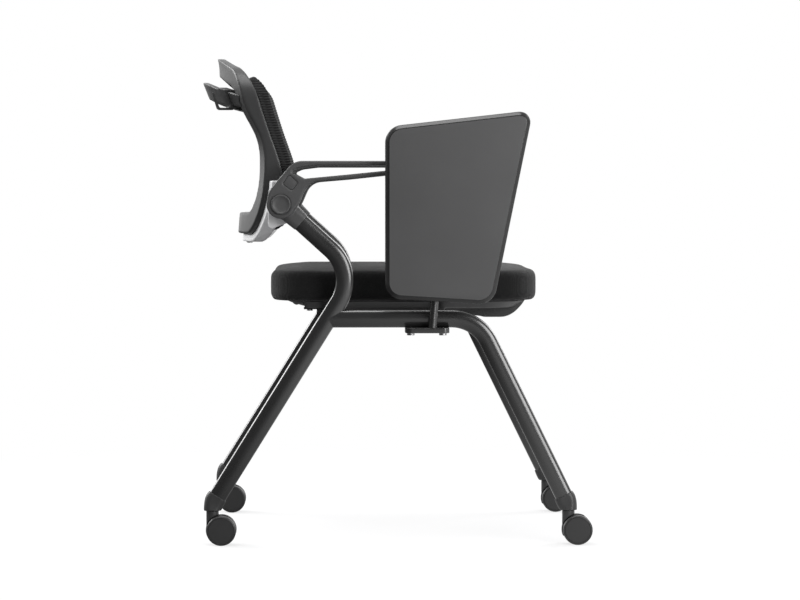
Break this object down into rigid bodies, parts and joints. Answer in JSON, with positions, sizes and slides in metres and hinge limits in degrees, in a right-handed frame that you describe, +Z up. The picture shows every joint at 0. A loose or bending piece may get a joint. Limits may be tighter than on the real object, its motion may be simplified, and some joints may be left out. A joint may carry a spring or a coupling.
{
  "type": "nesting training chair",
  "caption": "Nesting training chair on twin-wheel casters with flip-up padded seat, sprung mesh back, loop armrests and a side writing tablet that swings over the lap.",
  "frame": {"origin": "floor level on the chair's centre plane, midway between the front and rear caster stems", "axes": "+X forward, the way the sitter faces; +Y to the sitter's left; +Z up"},
  "size_m": [0.6658, 0.5839, 0.8267],
  "materials": {
    "black_coated_steel": "satin black powder coat",
    "moulded_black": "fine moulded texture",
    "arm_plastic": "fine moulded texture",
    "tablet_grey": "smooth matte moulding",
    "silver_casting": "silver painted casting",
    "seat_fabric": "plain woven upholstery",
    "knit_mesh": "ribbed spacer knit",
    "wheel_plastic": "moulded nylon",
    "plated_steel": "zinc plated",
    "rubber_black": "matt"
  },
  "bodies": {
    "frame": {"arm_plug_left": "arm_plastic", "arm_plug_right": "arm_plastic", "armrest_left": "arm_plastic", "armrest_right": "arm_plastic", "front_cross_tube": "black_coated_steel", "front_leg_socket_left": "moulded_black", "front_leg_socket_right": "moulded_black", "front_leg_tube_left": "black_coated_steel", "front_leg_tube_right": "black_coated_steel", "hub_cap_left": "arm_plastic", "hub_cap_right": "arm_plastic", "rear_cross_tube": "black_coated_steel", "rear_leg_socket_left": "moulded_black", "rear_leg_socket_right": "moulded_black", "rear_leg_tube_left": "black_coated_steel", "rear_leg_tube_right": "black_coated_steel", "recline_bush_left": "rubber_black", "recline_bush_right": "rubber_black", "recline_pin_left": "plated_steel", "recline_pin_right": "plated_steel", "tablet_clamp": "black_coated_steel", "tablet_clamp_bolts": "plated_steel", "tablet_knuckle": "black_coated_steel", "tablet_post": "black_coated_steel"},
    "seat": {"seat_buffers": "rubber_black", "seat_cushion": "seat_fabric", "seat_hinge_left": "moulded_black", "seat_hinge_right": "moulded_black", "seat_hinge_screws": "plated_steel", "seat_pan": "moulded_black"},
    "back": {"back_carrier": "silver_casting", "back_frame": "moulded_black", "back_handle": "moulded_black", "back_mesh": "knit_mesh", "bag_hook": "moulded_black", "carrier_screws": "plated_steel"},
    "tablet": {"tablet_board": "tablet_grey", "tablet_hinge": "black_coated_steel", "tablet_pin": "plated_steel", "tablet_screws": "plated_steel"},
    "rear_right_caster": {"rear_right_caster_axle": "plated_steel", "rear_right_caster_body": "moulded_black"},
    "rear_right_inner_wheel": {"rear_right_caster_inner_wheel": "wheel_plastic"},
    "rear_right_outer_wheel": {"rear_right_caster_outer_wheel": "wheel_plastic"},
    "rear_left_caster": {"rear_left_caster_axle": "plated_steel", "rear_left_caster_body": "moulded_black"},
    "rear_left_inner_wheel": {"rear_left_caster_inner_wheel": "wheel_plastic"},
    "rear_left_outer_wheel": {"rear_left_caster_outer_wheel": "wheel_plastic"},
    "front_right_caster": {"front_right_caster_axle": "plated_steel", "front_right_caster_body": "moulded_black"},
    "front_right_inner_wheel": {"front_right_caster_inner_wheel": "wheel_plastic"},
    "front_right_outer_wheel": {"front_right_caster_outer_wheel": "wheel_plastic"},
    "front_left_caster": {"front_left_caster_axle": "plated_steel", "front_left_caster_body": "moulded_black"},
    "front_left_inner_wheel": {"front_left_caster_inner_wheel": "wheel_plastic"},
    "front_left_outer_wheel": {"front_left_caster_outer_wheel": "wheel_plastic"}
  },
  "joints": [
    {"name": "seat_flip", "type": "hinge", "parent": "frame", "child": "seat", "pos_m": [-0.109, 0, 0.378], "axis": [0, -1, 0], "range_deg": [0, 78]},
    {"name": "back_recline", "type": "hinge", "parent": "frame", "child": "back", "pos_m": [-0.184, 0, 0.573], "axis": [0, -1, 0], "range_deg": [0, 12], "stiffness_Nm_per_rad": 120, "springref_deg": -6.88},
    {"name": "tablet_swing", "type": "hinge", "parent": "frame", "child": "tablet", "pos_m": [0.092, -0.28, 0.655], "axis": [0, -0.7071, 0.7071], "range_deg": [0, 180]},
    {"name": "rear_right_swivel", "type": "hinge", "parent": "frame", "child": "rear_right_caster", "pos_m": [-0.3, -0.252, 0.058], "axis": [0, 0, 1], "continuous": true},
    {"name": "rear_right_inner_roll", "type": "hinge", "parent": "rear_right_caster", "child": "rear_right_inner_wheel", "pos_m": [-0.285, -0.252, 0.025], "axis": [0, 1, 0], "continuous": true},
    {"name": "rear_right_outer_roll", "type": "hinge", "parent": "rear_right_caster", "child": "rear_right_outer_wheel", "pos_m": [-0.285, -0.252, 0.025], "axis": [0, 1, 0], "continuous": true},
    {"name": "rear_left_swivel", "type": "hinge", "parent": "frame", "child": "rear_left_caster", "pos_m": [-0.3, 0.252, 0.058], "axis": [0, 0, 1], "continuous": true},
    {"name": "rear_left_inner_roll", "type": "hinge", "parent": "rear_left_caster", "child": "rear_left_inner_wheel", "pos_m": [-0.285, 0.252, 0.025], "axis": [0, 1, 0], "continuous": true},
    {"name": "rear_left_outer_roll", "type": "hinge", "parent": "rear_left_caster", "child": "rear_left_outer_wheel", "pos_m": [-0.285, 0.252, 0.025], "axis": [0, 1, 0], "continuous": true},
    {"name": "front_right_swivel", "type": "hinge", "parent": "frame", "child": "front_right_caster", "pos_m": [0.3, -0.252, 0.058], "axis": [0, 0, 1], "continuous": true},
    {"name": "front_right_inner_roll", "type": "hinge", "parent": "front_right_caster", "child": "front_right_inner_wheel", "pos_m": [0.315, -0.252, 0.025], "axis": [0, 1, 0], "continuous": true},
    {"name": "front_right_outer_roll", "type": "hinge", "parent": "front_right_caster", "child": "front_right_outer_wheel", "pos_m": [0.315, -0.252, 0.025], "axis": [0, 1, 0], "continuous": true},
    {"name": "front_left_swivel", "type": "hinge", "parent": "frame", "child": "front_left_caster", "pos_m": [0.3, 0.252, 0.058], "axis": [0, 0, 1], "continuous": true},
    {"name": "front_left_inner_roll", "type": "hinge", "parent": "front_left_caster", "child": "front_left_inner_wheel", "pos_m": [0.315, 0.252, 0.025], "axis": [0, 1, 0], "continuous": true},
    {"name": "front_left_outer_roll", "type": "hinge", "parent": "front_left_caster", "child": "front_left_outer_wheel", "pos_m": [0.315, 0.252, 0.025], "axis": [0, 1, 0], "continuous": true}
  ]
}
